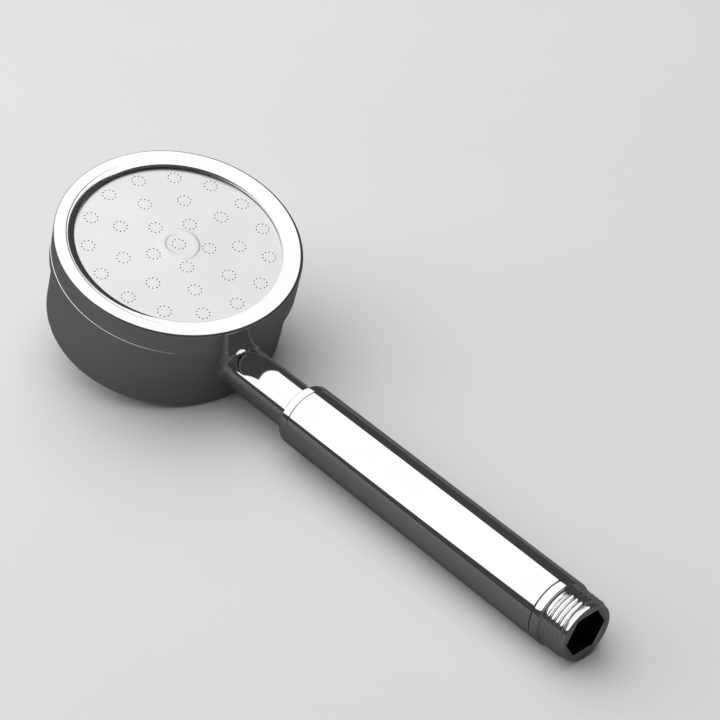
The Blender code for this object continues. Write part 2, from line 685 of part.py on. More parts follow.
def make_seals(handle):
    seal("neck_o_ring_upper", handle, NECK_SEAL_UPPER, SEAL_GROOVE_RADIUS, SEAL_SECTION)
    seal("neck_o_ring_lower", handle, NECK_SEAL_LOWER, SEAL_GROOVE_RADIUS, SEAL_SECTION)
    seal("collar_o_ring", handle, COLLAR_SEAL, SLEEVE_GROOVE_RADIUS, SLEEVE_SEAL_SECTION)
    seal("pipe_o_ring_upper", handle, PIPE_SEAL_UPPER, SEAL_GROOVE_RADIUS, SEAL_SECTION)
    seal("pipe_o_ring_lower", handle, PIPE_SEAL_LOWER, SEAL_GROOVE_RADIUS, SEAL_SECTION)
    seal("inlet_o_ring", handle, INLET_SEAL, SLEEVE_GROOVE_RADIUS, SLEEVE_SEAL_SECTION)
    seal("restrictor_o_ring", handle, RESTRICTOR_SEAL, SEAL_GROOVE_RADIUS, SEAL_SECTION)


# ---------------------------------------------------------------- resting pose

def resting_tilt():
    """The tilt at which the cup's back edge and the inlet's flange touch the surface together."""
    cup_flat = (CUP_RADIUS - CUP_BACK_ROUND) * math.cos(math.pi / HEAD_STEPS)
    edge = Vector((cup_flat, CUP_BACK_ROUND - CUP_DEPTH))
    along = Vector((math.cos(HANDLE_ANGLE), math.sin(HANDLE_ANGLE)))
    below = Vector((math.sin(HANDLE_ANGLE), -math.cos(HANDLE_ANGLE)))
    flange_flat = HANDLE_RADIUS * math.cos(math.pi / HANDLE_STEPS)
    flange = Vector((0, -HANDLE_DROP)) + along * (FLANGE_END - FLANGE_CHAMFER) + below * flange_flat
    span = flange - edge
    return math.atan2(span.y, span.x) + math.asin(CUP_BACK_ROUND / span.length)


def settle(root):
    """Stands the whole on Z = 0, with its box centred over the origin."""
    bpy.context.view_layer.update()
    depsgraph = bpy.context.evaluated_depsgraph_get()
    low = Vector((math.inf, math.inf, math.inf))
    high = -low
    for part in PARTS.objects:
        if part.type != "MESH":
            continue
        evaluated = part.evaluated_get(depsgraph)
        for vertex in evaluated.data.vertices:
            place = evaluated.matrix_world @ vertex.co
            low = Vector(map(min, low, place))
            high = Vector(map(max, high, place))
    root.location -= Vector(((low.x + high.x) / 2, (low.y + high.y) / 2, low.z))


def shade_round():
    for part in PARTS.objects:
        if part.type == "MESH":
            part.data.shade_smooth()
            part.data.set_sharp_from_angle(angle=SHARP_ANGLE)


clear_scene()
PARTS = new_collection("handheld_shower_head")
CUTTERS = new_collection("cutters")
CHROME = new_material("chrome", (0.86, 0.86, 0.88), 1.0, 0.06)
STEEL = new_material("satin_steel", (0.78, 0.78, 0.80), 1.0, 0.32)
RUBBER = new_material("rubber", (0.05, 0.05, 0.05), 0.0, 0.7)
PLASTIC = new_material("plastic", (0.80, 0.80, 0.78), 0.0, 0.5)

ROOT = new_empty("resting_pose", None, (0, 0, 0), (0, resting_tilt(), 0))
HEAD_AXIS = new_empty("head_axis", ROOT, (0, 0, 0), (0, 0, 0))
HANDLE_AXIS = new_empty("handle_axis", ROOT, (0, 0, -HANDLE_DROP), (0, math.pi / 2 - HANDLE_ANGLE, 0))

make_head_shell(HEAD_AXIS, HANDLE_AXIS)
make_face_ring(HEAD_AXIS)
make_spray_plate(HEAD_AXIS)
make_plate_gasket(HEAD_AXIS)
make_distributor_disc(HEAD_AXIS)
make_distributor_screws(HEAD_AXIS)
make_collar_bush(HANDLE_AXIS)
make_handle_tube(HANDLE_AXIS)
make_water_pipe(HANDLE_AXIS)
make_inlet_fitting(HANDLE_AXIS)
make_flow_restrictor(HANDLE_AXIS)
make_strainer(HANDLE_AXIS)
make_seals(HANDLE_AXIS)
shade_round()
settle(ROOT)
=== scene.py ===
"""Looks of the handheld shower head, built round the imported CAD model.

Metres, +Z up. Every turned piece is drawn about the head's axis or the handle's axis, both of
which are read from the model's joints, and its places along that axis are read from its CAD node.
"""

import json
import math

import bmesh
import bpy
from mathutils import Matrix, Vector, geometry


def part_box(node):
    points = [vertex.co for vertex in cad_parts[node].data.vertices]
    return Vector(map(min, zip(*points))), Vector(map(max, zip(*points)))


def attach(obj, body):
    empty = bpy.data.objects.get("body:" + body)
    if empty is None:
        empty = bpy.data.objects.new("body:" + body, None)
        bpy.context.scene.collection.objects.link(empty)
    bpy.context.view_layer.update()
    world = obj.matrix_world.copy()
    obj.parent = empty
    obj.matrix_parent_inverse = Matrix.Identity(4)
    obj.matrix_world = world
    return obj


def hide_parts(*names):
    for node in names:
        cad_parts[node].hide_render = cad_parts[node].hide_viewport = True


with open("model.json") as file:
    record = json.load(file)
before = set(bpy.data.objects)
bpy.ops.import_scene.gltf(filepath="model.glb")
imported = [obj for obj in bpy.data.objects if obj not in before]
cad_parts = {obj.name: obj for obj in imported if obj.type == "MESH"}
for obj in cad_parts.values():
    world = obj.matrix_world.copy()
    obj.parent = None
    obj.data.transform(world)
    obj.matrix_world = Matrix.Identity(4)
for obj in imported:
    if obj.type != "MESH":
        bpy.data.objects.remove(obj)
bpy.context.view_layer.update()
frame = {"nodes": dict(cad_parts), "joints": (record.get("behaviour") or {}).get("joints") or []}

MM = 0.001

# Facets
HEAD_STEPS = 240
HANDLE_STEPS = 160
SMALL_STEPS = 48
EMBOSS_STEPS = 96
SEAL_STEPS = 16
ROUND_POINTS = 6                  # on each rounded corner
FILLET_POINTS = 11                # on the neck's fillet
THREAD_ROWS = 20                  # rows of facets in one pitch
EMBOSS_ROWS = 17
SHARP_ANGLE = math.radians(32)
ROUND_SHARE = 0.49                # most of an outline's side that a rounded corner takes
ON_AXIS = 1e-7
THREAD_MARGIN = 1e-6              # how far off a thread's blank a vertex still belongs to it

# Clearances, walls and edges
CLEARANCE = 0.3 * MM              # between pieces that touch
FINE_EDGE = 0.1 * MM
TUBE_WALL = 1.4 * MM
STOP_LIP_WIDTH = 1.1 * MM         # lips in the bores that the pipe and the cartridge stop on
CUT_MARGIN = 1 * MM               # how far a cutter passes the face that it cuts

# Face ring and spray plate
LIP_ROUND = 1.5 * MM
RING_FOOT_ROUND = 0.3 * MM
RING_BORE_ROUND = 0.2 * MM
OPENING_ROUND = 0.5 * MM
CREASE_ROUND = 0.15 * MM
LAND_DOME = 0.12 * MM
CREASE_WIDTH = 4.4 * MM           # outside to the crease
CREASE_DROP = 0.2 * MM
CREASE_RISE_WIDTH = 0.5 * MM      # crease to the land's dome
BEVEL_FOOT = 1.5 * MM             # bevel's lower edge above the plate
BEAD_DROP = 9.2 * MM              # ring's top to the bead round its lower part
BEAD_RISE = 0.16 * MM
BEAD_ROUND = 0.08 * MM
RING_GAP = 0.3 * MM               # ring's underside to the plate
RING_THREAD_START = 1.0 * MM      # ring's lower edge to its thread
RING_THREAD_END = -2.8 * MM
RING_BORE_WALL = 2.8 * MM
CLUSTER_COUNTS = (5, 9, 15)
CLUSTER_EDGE = 4.6 * MM           # outermost clusters to the ring's opening
CLUSTER_RADIUS = 2.3 * MM
CLUSTER_HOLES = 10
PATTERN_TURN = math.radians(-21)
MICRO_HOLE_RADIUS = 0.26 * MM
MICRO_HOLE_POINTS = 8
INSIDE_HOLE = 0.9                 # share of a hole's radius within which a face's middle is in the hole
CDT_EPSILON = 1e-7
EMBOSS_INNER_RADIUS = 4.1 * MM
EMBOSS_OUTER_RADIUS = 7.6 * MM
EMBOSS_SLOPE = 1.1 * MM
EMBOSS_RISE = 0.12 * MM

GASKET_EDGE = 0.25 * MM

# Cup and neck
CUP_STEP = 1.4 * MM               # ring's outside to the cup's
CUP_FLOOR = 2.2 * MM
CUP_FLOOR_ROUND = 3 * MM
CUP_BACK_ROUND = 1.2 * MM
CUP_RIM_ROUND = 0.3 * MM
CUP_THREAD_START = 0.8 * MM       # shoulder to the thread
CUP_THREAD_END = 0.4 * MM         # thread to the rim
RIM_BEVEL = 0.3 * MM
POST_RADIUS = 3.2 * MM
SCREW_HOLE_RADIUS = 1.55 * MM
NECK_STEP = 1.6 * MM              # neck's outside to its spigot's
NECK_FILLET = 1.6 * MM
NECK_ROOT = -2.0 * MM             # how deep the neck's foot stands in the cup's wall
NECK_SINK = 0.02 * MM             # sinks the fillet's end below the cup's wall
NECK_ROUND = 0.15 * MM
NECK_STRAIGHT = 3 * MM
NECK_OVERLAP = 1.2 * MM           # how far the neck reaches into the collar
SPIGOT_ROUND = 0.3 * MM
NECK_BORE_RADIUS = 4.2 * MM
NECK_BORE_START = 30 * MM          # along the handle's axis, inside the cup
FACE_THREAD_PITCH = 1.5 * MM
FACE_THREAD_DEPTH = 0.7 * MM
FACE_THREAD_LEAD = 0.6 * MM

# Handle
COLLAR_CHAMFER = 0.8 * MM
COLLAR_FACE_ROUND = 0.25 * MM
COLLAR_CHAMFER_ROUND = 0.4 * MM
COLLAR_RECESS = 1.5 * MM          # depth of the neck's seat in the collar
COLLAR_GAP = 0.12 * MM            # collar to the tube
EDGE_ROUND = 0.2 * MM
PIPE_ROUND = 0.3 * MM
SEAL_GROOVE_MARGIN = 0.6 * MM
SEAL_GROOVE_DEPTH = 0.2 * MM      # below the seal's inside

# Inlet
HOSE_THREAD_CREST = 10.48 * MM
HOSE_THREAD_DEPTH = 1.16 * MM
HOSE_THREAD_PITCH = 1.814 * MM
HOSE_THREAD_LENGTH = 7.4 * MM
HOSE_THREAD_LEAD = 0.7 * MM
HOSE_THREAD_RUN_IN = 0.6 * MM     # how far the thread's rows reach into the relief
END_BAND_RADIUS = 9.9 * MM
END_BAND_GAP = 0.15 * MM          # thread to the end band
END_BAND_ROUND = 0.2 * MM
END_FACE_ROUND = 0.35 * MM
RELIEF_WIDTH = 1.5 * MM
RELIEF_STEP = 0.1 * MM
RELIEF_RUN = 0.4 * MM
RELIEF_ROUND = 0.15 * MM
FLANGE_WIDTH = 3.1 * MM
FLANGE_ROUND = 0.2 * MM
FLANGE_FRONT_ROUND = 0.45 * MM
BODY_ROUND = 0.3 * MM
HEX_SIDES = 6
HEX_CORNER_RADIUS = 8.08 * MM
HEX_DEPTH = 11.8 * MM
HEX_CHAMFER = 0.45 * MM
INLET_THREAD_PITCH = 1.25 * MM
INLET_THREAD_DEPTH = 0.5 * MM
INLET_THREAD_LEAD = 0.6 * MM
INLET_THREAD_MARGIN = 0.8 * MM    # thread to the body's end and to the seal's groove

# Cartridge
CARTRIDGE_RECESS = 2.2 * MM
CARTRIDGE_ROUND = 0.3 * MM
FILTER_RIM = 1.2 * MM

# Where a noise's dark and light ends lie, as most of it is between them
NOISE_LOW = 0.3
NOISE_HIGH = 0.7

# Camera
CAMERA_PLACE = (0.45966, -0.37957, 0.48110)
CAMERA_TARGET = (-0.01798, 0.03303, 0.01500)
CAMERA_ROLL = math.radians(0.77)
CAMERA_LENS = 114.5
CAMERA_SENSOR = 36
CAMERA_NEAR = 0.01

# Light
SOFTBOX_SIDE = (-0.505, -0.187, 0.843)
SOFTBOX_DISTANCE = 1.0
SOFTBOX_SIZE = 2.6
SOFTBOX_POWER = 17.8
FILL_POWER = 0.8
FILL_ANGLE = math.radians(90)
FILL_TILT = (0.2, -0.3, 0)
ROOM_LIGHT = 0.05
STUDIO_WHITE = (1.0, 1.0, 1.02, 1.0)
BACKDROP_LIGHT = 0.7
BACKDROP_RADIUS = 2.2
GROUND_SIZE = 16.0
DARK_FLOOR_HEIGHT = -0.2 * MM
PALE_FLOOR_COLOUR = (0.85, 0.85, 0.86)
DARK_FLOOR_COLOUR = (0.38, 0.38, 0.39)
FLOOR_MOTTLE = 0.98               # the floors' darkest share of their colour


# ---------------------------------------------------------------- frame

JOINTS = {joint["name"]: joint for joint in frame["joints"]}


def axis_matrix(joint):
    """Local Z along the joint's axis and local Y along the model's Y."""
    z = Vector(joint["axis"]).normalized()
    y = Vector((0, 1, 0))
    matrix = Matrix((y.cross(z), y, z)).transposed().to_4x4()
    matrix.translation = Vector(joint["pos_m"])
    return matrix


HEAD = axis_matrix(JOINTS["ring_turn"])
HANDLE = axis_matrix(JOINTS["inlet_turn"])


class Reach:
    """How far a CAD node reaches along and away from an axis."""

    def __init__(self, node, axis):
        inverse = axis.inverted()
        places = [inverse @ vertex.co for vertex in frame["nodes"][node].data.vertices]
        heights = [place.z for place in places]
        radii = [math.hypot(place.x, place.y) for place in places]
        self.start = min(heights)
        self.end = max(heights)
        self.inner = min(radii)
        self.outer = max(radii)


# ---------------------------------------------------------------- mesh helpers

def rounded(corners):
    """An outline of (radius, height, rounding) with each rounded corner as an arc."""
    points = []
    for i, (radius, height, rounding) in enumerate(corners):
        here = Vector((radius, height))
        if rounding <= 0:
            points.append(tuple(here))
            continue
        before = Vector(corners[i - 1][:2]) - here
        after = Vector(corners[(i + 1) % len(corners)][:2]) - here
        half = before.angle(after) / 2
        reach = min(rounding / math.tan(half), ROUND_SHARE * before.length, ROUND_SHARE * after.length)
        size = reach * math.tan(half)
        before.normalize()
        after.normalize()
        centre = here + (before + after).normalized() * size / math.sin(half)
        first = here + before * reach - centre
        last = here + after * reach - centre
        for k in range(ROUND_POINTS):
            u = k / (ROUND_POINTS - 1)
            spoke = first.slerp(last, u)
            points.append(tuple(centre + spoke.normalized() * size))
    return points


def lathe(name, outline, steps):
    """A closed outline of (radius, height) turned about Z. Points on the axis become poles."""
    bm = bmesh.new()
    rows = []
    for radius, height in outline:
        if radius < ON_AXIS:
            rows.append([bm.verts.new((0, 0, height))] * steps)
            continue
        angles = [2 * math.pi * k / steps for k in range(steps)]
        rows.append([bm.verts.new((radius * math.cos(a), radius * math.sin(a), height)) for a in angles])
    for lower, upper in zip(rows, rows[1:] + rows[:1]):
        if lower[0] is lower[1] and upper[0] is upper[1]:
            continue
        for k in range(steps):
            corners = [lower[k], lower[(k + 1) % steps], upper[(k + 1) % steps], upper[k]]
            bm.faces.new(list(dict.fromkeys(corners)))
    bmesh.ops.recalc_face_normals(bm, faces=bm.faces)
    mesh = bpy.data.meshes.new(name)
    bm.to_mesh(mesh)
    bm.free()
    return mesh


def prism(name, radius, start, end, sides, place=(0, 0), turn=0.0, flare=0.0):
    """A round or many-sided bar along Z, wider by the flare at its end."""
    angles = [turn + 2 * math.pi * k / sides for k in range(sides)]
    bm = bmesh.new()
    rows = []
    for size, height in ((radius, start), (radius + flare, end)):
        rows.append([bm.verts.new((place[0] + size * math.cos(a), place[1] + size * math.sin(a), height))
                     for a in angles])
    low, high = rows
    bm.faces.new(low[::-1])
    bm.faces.new(high)
    for k in range(sides):
        n = (k + 1) % sides
        bm.faces.new((low[k], low[n], high[n], high[k]))
    mesh = bpy.data.meshes.new(name)
    bm.to_mesh(mesh)
    bm.free()
    return mesh


def placed(mesh, matrix):
    mesh.transform(matrix)
    return mesh


def boolean(mesh, operation, tool):
    """The mesh with the tool joined to it or cut from it."""
    target = bpy.data.objects.new(mesh.name, mesh)
    other = bpy.data.objects.new("tool", tool)
    for used in (target, other):
        bpy.context.scene.collection.objects.link(used)
    modifier = target.modifiers.new("cut", "BOOLEAN")
    modifier.object = other
    modifier.operation = operation
    modifier.solver = "EXACT"
    bpy.context.view_layer.update()
    evaluated = target.evaluated_get(bpy.context.evaluated_depsgraph_get())
    made = bpy.data.meshes.new_from_object(evaluated)
    bpy.data.objects.remove(target, do_unlink=True)
    bpy.data.objects.remove(other, do_unlink=True)
    return made


def wind(mesh, inner, outer, start, end, pitch, lead):
    """Winds a right-hand thread into the rows between two heights whose radius is inner or outer."""
    for vertex in mesh.vertices:
        radius = math.hypot(vertex.co.x, vertex.co.y)
        if not inner - THREAD_MARGIN < radius < outer + THREAD_MARGIN:
            continue
        if not start < vertex.co.z < end:
            continue
        angle = math.atan2(vertex.co.y, vertex.co.x)
        turns = (vertex.co.z - start) / pitch - angle / (2 * math.pi)
        wave = 0.5 - 0.5 * math.cos(2 * math.pi * turns)
        fade = min(1.0, (vertex.co.z - start) / lead, (end - vertex.co.z) / lead)
        new_radius = radius + (inner + (outer - inner) * wave - radius) * fade
        vertex.co.x *= new_radius / radius
        vertex.co.y *= new_radius / radius


def rows_between(radius, start, end, pitch):
    """Close rows of an outline, for a thread to be wound into."""
    count = int(abs(end - start) / pitch * THREAD_ROWS)
    return [(radius, start + (end - start) * k / count, 0) for k in range(count + 1)]


def piece(name, mesh, axis, material, body, node):
    """Puts a mesh drawn about an axis in its place, in place of its CAD node."""
    mesh.transform(axis)
    mesh.materials.clear()
    mesh.materials.append(material)
    mesh.shade_smooth()
    mesh.set_sharp_from_angle(angle=SHARP_ANGLE)
    made = bpy.data.objects.new(name, mesh)
    bpy.context.scene.collection.objects.link(made)
    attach(made, body)
    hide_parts(node)
    return made


# ---------------------------------------------------------------- materials

def new_material(name, colour, metallic, roughness):
    material = bpy.data.materials.new(name)
    material.use_nodes = True
    shader = material.node_tree.nodes["Principled BSDF"]
    shader.inputs["Base Color"].default_value = (*colour, 1.0)
    shader.inputs["Metallic"].default_value = metallic
    shader.inputs["Roughness"].default_value = roughness
    return material, material.node_tree, shader


def add_noise(tree, scale, detail):
    """Noise in the object's own coordinates; the scale is in features to the metre."""
    place = tree.nodes.new("ShaderNodeTexCoord")
    noise = tree.nodes.new("ShaderNodeTexNoise")
    noise.inputs["Scale"].default_value = scale
    noise.inputs["Detail"].default_value = detail
    tree.links.new(place.outputs["Object"], noise.inputs["Vector"])
    return noise


def vary_roughness(tree, shader, noise, low, high):
    spread = tree.nodes.new("ShaderNodeMapRange")
    spread.inputs["From Min"].default_value = NOISE_LOW
    spread.inputs["From Max"].default_value = NOISE_HIGH
    spread.inputs["To Min"].default_value = low
    spread.inputs["To Max"].default_value = high
    tree.links.new(noise.outputs["Fac"], spread.inputs["Value"])
    tree.links.new(spread.outputs["Result"], shader.inputs["Roughness"])


def vary_colour(tree, shader, noise, dark, light):
    ramp = tree.nodes.new("ShaderNodeValToRGB")
    ramp.color_ramp.elements[0].position = NOISE_LOW
    ramp.color_ramp.elements[0].color = (*dark, 1.0)
    ramp.color_ramp.elements[1].position = NOISE_HIGH
    ramp.color_ramp.elements[1].color = (*light, 1.0)
    tree.links.new(noise.outputs["Fac"], ramp.inputs["Fac"])
    tree.links.new(ramp.outputs["Color"], shader.inputs["Base Color"])


def add_bump(tree, shader, noise, strength, distance):
    bump = tree.nodes.new("ShaderNodeBump")
    bump.inputs["Strength"].default_value = strength
    bump.inputs["Distance"].default_value = distance
    tree.links.new(noise.outputs["Fac"], bump.inputs["Height"])
    tree.links.new(bump.outputs["Normal"], shader.inputs["Normal"])


def make_chrome():
    """Mirror chrome with a faint ripple, and haze that comes and goes."""
    material, tree, shader = new_material("mirror_chrome", (0.9, 0.9, 0.91),
                                          metallic=1.0, roughness=0.05)
    vary_roughness(tree, shader, add_noise(tree, 60, 4), 0.03, 0.075)
    vary_colour(tree, shader, add_noise(tree, 25, 2), (0.86, 0.86, 0.875), (0.92, 0.92, 0.93))
    add_bump(tree, shader, add_noise(tree, 90, 1), 0.02, 0.1 * MM)
    return material


def make_satin_steel():
    """Stainless sheet with a fine even grain."""
    material, tree, shader = new_material("satin_sheet_steel", (0.64, 0.64, 0.65),
                                          metallic=1.0, roughness=0.3)
    vary_roughness(tree, shader, add_noise(tree, 1500, 3), 0.28, 0.33)
    vary_colour(tree, shader, add_noise(tree, 40, 3), (0.77, 0.77, 0.785), (0.82, 0.82, 0.835))
    add_bump(tree, shader, add_noise(tree, 4000, 2), 0.03, 0.02 * MM)
    return material


def make_brass_with_painted_shade():
    """The unplated brass inside of the inlet, dull, with painted shade: its colour is made dark to stand
    for the shade deep in the socket and bore.
    """
    # painted shade: this very dark brass colour stands in for the shade inside the socket and bore
    material, tree, shader = new_material("bare_brass_painted_shade", (0.12, 0.09, 0.07),
                                          metallic=1.0, roughness=0.45)
    vary_colour(tree, shader, add_noise(tree, 150, 3), (0.09, 0.07, 0.055), (0.15, 0.115, 0.085))
    vary_roughness(tree, shader, add_noise(tree, 400, 3), 0.35, 0.55)
    add_bump(tree, shader, add_noise(tree, 1500, 3), 0.1, 0.02 * MM)
    return material


def make_rubber():
    material, tree, shader = new_material("seal_rubber_black", (0.03, 0.03, 0.03),
                                          metallic=0.0, roughness=0.6)
    vary_colour(tree, shader, add_noise(tree, 300, 3), (0.018, 0.018, 0.018), (0.04, 0.04, 0.04))
    vary_roughness(tree, shader, add_noise(tree, 500, 3), 0.5, 0.75)
    add_bump(tree, shader, add_noise(tree, 2500, 3), 0.25, 0.03 * MM)
    return material


def make_plastic():
    material, tree, shader = new_material("white_moulding", (0.75, 0.75, 0.72),
                                          metallic=0.0, roughness=0.45)
    vary_colour(tree, shader, add_noise(tree, 120, 3), (0.70, 0.70, 0.67), (0.78, 0.78, 0.75))
    vary_roughness(tree, shader, add_noise(tree, 400, 3), 0.38, 0.55)
    add_bump(tree, shader, add_noise(tree, 1800, 3), 0.2, 0.02 * MM)
    return material


CHROME = make_chrome()
STEEL = make_satin_steel()
BRASS_WITH_PAINTED_SHADE = make_brass_with_painted_shade()
RUBBER = make_rubber()
PLASTIC = make_plastic()


# ---------------------------------------------------------------- head

def make_face_ring():
    cad = Reach("face_ring", HEAD)
    bore = cad.outer - RING_BORE_WALL
    crease = cad.outer - CREASE_WIDTH
    land_top = cad.end
    bead_top = land_top - BEAD_DROP
    corners = [
        (cad.inner, RING_GAP, FINE_EDGE),
        (cad.inner, BEVEL_FOOT, OPENING_ROUND),
        (crease, land_top - CREASE_DROP, CREASE_ROUND),
        (crease + CREASE_RISE_WIDTH, land_top - LAND_DOME / 2, 0),
        ((crease + cad.outer) / 2, land_top, 0),
        (cad.outer, land_top - LAND_DOME / 2, LIP_ROUND),
        (cad.outer, bead_top, BEAD_ROUND),
        (cad.outer + BEAD_RISE, bead_top, BEAD_ROUND),
        (cad.outer + BEAD_RISE, cad.start, RING_FOOT_ROUND),
        (bore, cad.start, RING_BORE_ROUND),
    ]
    thread_start = cad.start + RING_THREAD_START
    corners += rows_between(bore, thread_start, RING_THREAD_END, FACE_THREAD_PITCH)
    corners.append((bore, RING_GAP, 0))
    mesh = lathe("face_ring_fine", rounded(corners), HEAD_STEPS)
    wind(mesh, bore, bore + FACE_THREAD_DEPTH, thread_start, RING_THREAD_END, FACE_THREAD_PITCH,
         FACE_THREAD_LEAD)
    piece("face_ring_fine", mesh, HEAD, CHROME, "face_ring", "face_ring")


def cluster_centres(opening):
    """The middles of the clusters of fine holes: one, and rings of them round it."""
    yield 0.0, 0.0
    spacing = (opening - CLUSTER_EDGE) / len(CLUSTER_COUNTS)
    for ring, count in enumerate(CLUSTER_COUNTS, 1):
        for k in range(count):
            angle = PATTERN_TURN + 2 * math.pi * k / count
            yield spacing * ring * math.cos(angle), spacing * ring * math.sin(angle)


def circle(centre, radius, count):
    for k in range(count):
        angle = 2 * math.pi * k / count
        yield Vector((centre[0] + radius * math.cos(angle), centre[1] + radius * math.sin(angle)))


def emboss_height(radius):
    """The soft raised ring in the middle of the plate: flat on top, with smooth slopes."""
    inside = min(radius - EMBOSS_INNER_RADIUS, EMBOSS_OUTER_RADIUS - radius)
    u = min(1.0, max(0.0, inside / EMBOSS_SLOPE))
    return EMBOSS_RISE * u * u * (3 - 2 * u)


def plate_loops(rim_radius, holes):
    """The plate's outline, the circles that carry its emboss, and the outline of each hole."""
    yield circle((0, 0), rim_radius, HEAD_STEPS)
    width = EMBOSS_OUTER_RADIUS - EMBOSS_INNER_RADIUS
    for k in range(EMBOSS_ROWS):
        yield circle((0, 0), EMBOSS_INNER_RADIUS + width * k / (EMBOSS_ROWS - 1), EMBOSS_STEPS)
    for hole in holes:
        yield circle(hole, MICRO_HOLE_RADIUS, MICRO_HOLE_POINTS)


def make_spray_plate():
    cad = Reach("spray_plate", HEAD)
    opening = Reach("face_ring", HEAD).inner
    holes = []
    for centre in cluster_centres(opening):
        for hole in circle(centre, CLUSTER_RADIUS, CLUSTER_HOLES):
            holes.append(hole)
    points = []
    edges = []
    for loop in map(list, plate_loops(cad.outer, holes)):
        first = len(points)
        points += loop
        edges += [(first + k, first + (k + 1) % len(loop)) for k in range(len(loop))]
    made = geometry.delaunay_2d_cdt(points, edges, [], 1, CDT_EPSILON)
    flat, faces = made[0], made[2]
    bm = bmesh.new()
    top_verts = [bm.verts.new((p.x, p.y, emboss_height(p.length))) for p in flat]
    low_verts = [bm.verts.new((p.x, p.y, cad.start)) for p in flat]
    for face in faces:
        middle = sum((flat[i] for i in face), Vector((0, 0))) / len(face)
        if any((middle - hole).length < MICRO_HOLE_RADIUS * INSIDE_HOLE for hole in holes):
            continue
        bm.faces.new([top_verts[i] for i in face])
        bm.faces.new([low_verts[i] for i in reversed(face)])
    low_of = dict(zip(top_verts, low_verts))
    top_set = set(top_verts)
    for edge in [e for e in bm.edges if e.is_boundary and e.verts[0] in top_set]:
        a, b = edge.verts
        bm.faces.new((a, b, low_of[b], low_of[a]))
    loose = [v for v in bm.verts if not v.link_faces]
    bmesh.ops.delete(bm, geom=loose, context="VERTS")
    bmesh.ops.recalc_face_normals(bm, faces=bm.faces)
    mesh = bpy.data.meshes.new("spray_plate_fine")
    bm.to_mesh(mesh)
    bm.free()
    piece("spray_plate_fine", mesh, HEAD, STEEL, "spray_face", "spray_plate")


def make_gasket():
    cad = Reach("plate_gasket", HEAD)
    outline = rounded([(cad.inner, cad.start, GASKET_EDGE), (cad.outer, cad.start, GASKET_EDGE),
                       (cad.outer, cad.end, GASKET_EDGE), (cad.inner, cad.end, GASKET_EDGE)])
    mesh = lathe("plate_gasket_fine", outline, HEAD_STEPS)
    piece("plate_gasket_fine", mesh, HEAD, RUBBER, "spray_face", "plate_gasket")


def seal_groove(node):
    """A groove round a seal: its two sides and its floor's radius."""
    seal = Reach(node, HANDLE)
    section = seal.outer - seal.inner
    middle = (seal.start + seal.end) / 2
    half = (section + SEAL_GROOVE_MARGIN) / 2
    return middle - half, middle + half, seal.inner - SEAL_GROOVE_DEPTH


def groove_corners(surface, low, high, floor):
    """The four corners of a seal's groove, from the lower side to the upper."""
    places = ((surface, low), (floor, low), (floor, high), (surface, high))
    return [(radius, height, FINE_EDGE) for radius, height in places]


def neck_along(radius, angle, distance, cup_radius):
    """Where, along the handle's axis, a line on the neck is at a distance from the cup's wall."""
    to_handle = HEAD.inverted() @ HANDLE
    origin = to_handle.translation
    spoke = to_handle.to_3x3() @ Vector((radius * math.cos(angle), radius * math.sin(angle), 0))
    along = to_handle.to_3x3() @ Vector((0, 0, 1))
    y = origin.y + spoke.y
    x = math.sqrt((cup_radius + distance) ** 2 - y ** 2)
    return (x - origin.x - spoke.x) / along.x


def make_neck(cup_radius, neck_radius, spigot_radius, neck_end, spigot_end, grooves):
    """The neck as a solid: a foot that flares onto the cup's wall, the neck and its grooved spigot."""
    bm = bmesh.new()
    steps = HANDLE_STEPS
    angles = [2 * math.pi * k / steps for k in range(steps)]
    rows = [[(0, a, neck_along(neck_radius, a, NECK_ROOT, cup_radius)) for a in angles]]
    foot = [(neck_radius + NECK_FILLET, NECK_ROOT)]
    for k in range(FILLET_POINTS):
        t = math.pi / 2 * k / (FILLET_POINTS - 1)
        distance = NECK_FILLET * (1 - math.cos(t)) - NECK_SINK
        foot.append((neck_radius + NECK_FILLET * (1 - math.sin(t)), distance))
    for radius, distance in foot:
        rows.append([(radius, a, neck_along(radius, a, distance, cup_radius)) for a in angles])
    straight = [(neck_radius, neck_end, NECK_ROUND), (spigot_radius, neck_end, FINE_EDGE)]
    for low, high, floor in grooves:
        straight += groove_corners(spigot_radius, low, high, floor)
    straight += [(spigot_radius, spigot_end, SPIGOT_ROUND), (0, spigot_end, 0)]
    start = (neck_radius, neck_end - NECK_STRAIGHT, 0)
    for radius, height in rounded([start] + straight)[1:]:
        rows.append([(radius, a, height) for a in angles])
    verts = []
    for row in rows:
        if all(radius < ON_AXIS for radius, _, _ in row):
            height = sum(place for _, _, place in row) / steps
            verts.append([bm.verts.new((0, 0, height))] * steps)
        else:
            verts.append([bm.verts.new((r * math.cos(a), r * math.sin(a), h)) for r, a, h in row])
    for lower, upper in zip(verts, verts[1:]):
        for k in range(steps):
            n = (k + 1) % steps
            bm.faces.new(list(dict.fromkeys([lower[k], lower[n], upper[n], upper[k]])))
    bmesh.ops.recalc_face_normals(bm, faces=bm.faces)
    mesh = bpy.data.meshes.new("neck")
    bm.to_mesh(mesh)
    bm.free()
    return mesh


def cup_blank(cup_radius, spigot, rim):
    """The cup as a solid, with the face ring's thread round its spigot."""
    back = Reach("head_shell", HEAD).start
    shoulder = Reach("face_ring", HEAD).start - CLEARANCE
    thread_start = shoulder + CUP_THREAD_START
    thread_end = rim - CUP_THREAD_END
    corners = [(0, back, 0), (cup_radius, back, CUP_BACK_ROUND), (cup_radius, shoulder, CUP_RIM_ROUND),
               (spigot, shoulder, FINE_EDGE)]
    corners += rows_between(spigot, thread_start, thread_end, FACE_THREAD_PITCH)
    corners += [(spigot, rim - RIM_BEVEL, 0), (spigot - RIM_BEVEL, rim, 0), (0, rim, 0)]
    cup = lathe("head_shell_fine", rounded(corners), HEAD_STEPS)
    wind(cup, spigot - FACE_THREAD_DEPTH, spigot, thread_start, thread_end, FACE_THREAD_PITCH,
         FACE_THREAD_LEAD)
    return cup


